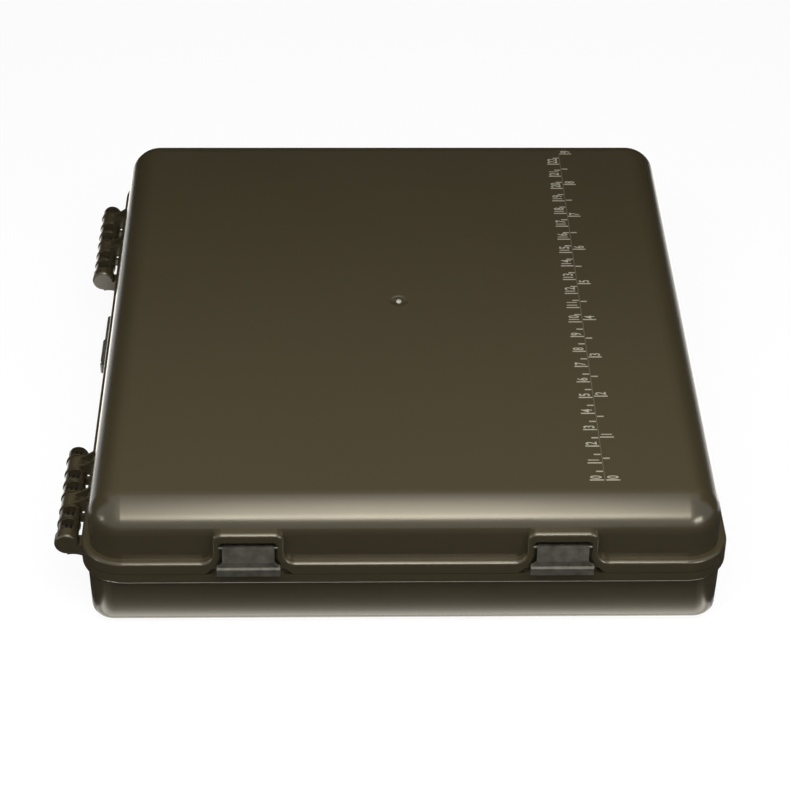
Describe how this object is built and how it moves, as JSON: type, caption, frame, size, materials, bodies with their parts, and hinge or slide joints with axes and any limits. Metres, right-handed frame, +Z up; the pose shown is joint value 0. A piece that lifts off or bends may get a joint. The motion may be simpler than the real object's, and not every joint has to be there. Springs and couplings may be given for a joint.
{
  "type": "rig box",
  "caption": "Shallow moulded case with a side-hinged lid, two front clip latches and foam strips inside.",
  "frame": {"origin": "centre of the base underside", "axes": "+Z up; the latches face -Y; the hinges are on the -X side"},
  "size_m": [0.2484, 0.2685, 0.0537],
  "materials": {
    "case": "satin moulded plastic",
    "smoked_clip": "smoked, slightly translucent",
    "pin_steel": "drawn wire",
    "foam": "closed-cell foam"
  },
  "bodies": {
    "base": {"base_shell": "case", "hinge_pin_rear": "pin_steel", "hinge_pin_front": "pin_steel", "side_clip": "smoked_clip", "foam_strip_front": "foam", "foam_strip_middle": "foam", "foam_strip_rear": "foam", "rig_pins": "pin_steel"},
    "lid": {"lid_shell": "case", "lid_foam": "foam"},
    "left_latch": {"latch_left": "smoked_clip"},
    "right_latch": {"latch_right": "smoked_clip"}
  },
  "joints": [
    {"name": "lid_hinge", "type": "hinge", "parent": "base", "child": "lid", "pos_m": [-0.1248, 0, 0.0263], "axis": [0, -1, 0], "range_deg": [0, 180]},
    {"name": "left_latch_pivot", "type": "hinge", "parent": "lid", "child": "left_latch", "pos_m": [-0.057, -0.1315, 0.0378], "axis": [-1, 0, 0], "range_deg": [0, 95]},
    {"name": "right_latch_pivot", "type": "hinge", "parent": "lid", "child": "right_latch", "pos_m": [0.057, -0.1315, 0.0378], "axis": [-1, 0, 0], "range_deg": [0, 95]}
  ]
}
